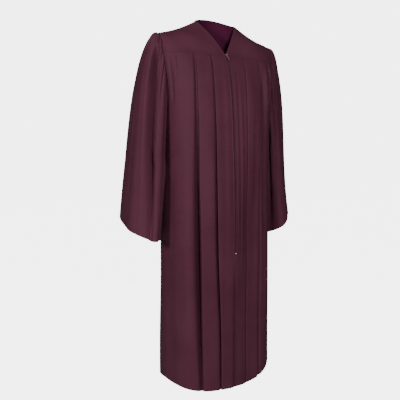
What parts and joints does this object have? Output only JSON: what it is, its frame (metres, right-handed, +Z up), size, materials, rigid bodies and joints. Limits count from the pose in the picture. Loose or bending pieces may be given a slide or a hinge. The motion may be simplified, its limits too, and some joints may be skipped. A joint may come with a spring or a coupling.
{
  "type": "choir robe",
  "caption": "Full-length choir robe with a smooth yoke, knife pleats, a V neck with a front zip and wide open sleeves, filled out as if worn.",
  "frame": {"origin": "middle of the neck opening, level with the tops of the shoulder seams, where the wearer's shoulders hold the robe up", "axes": "+Z up, the robe faces -Y, +X is the wearer's left"},
  "size_m": [0.6767, 0.3209, 1.3263],
  "materials": {
    "cloth": "matte maroon polyester with a soft sheen",
    "zip_tape": "matte woven tape",
    "zip_enamel": "satin enamel in the cloth's colour"
  },
  "bodies": {
    "robe": {"front_yoke_right": "cloth", "front_yoke_left": "cloth", "back_yoke": "cloth", "front_panel_right": "cloth", "front_panel_left": "cloth", "back_panel": "cloth", "sleeve_right": "cloth", "sleeve_left": "cloth", "zip_tape_right": "zip_tape", "zip_tape_left": "zip_tape", "zip_slider": "zip_enamel", "zip_end_stop": "zip_enamel"},
    "pull": {"zip_pull": "zip_enamel"}
  },
  "joints": [
    {"name": "pull_hinge", "type": "hinge", "parent": "robe", "child": "pull", "pos_m": [0, -0.07724, -0.12539], "axis": [-1, 0, 0], "range_deg": [0, 165]}
  ]
}
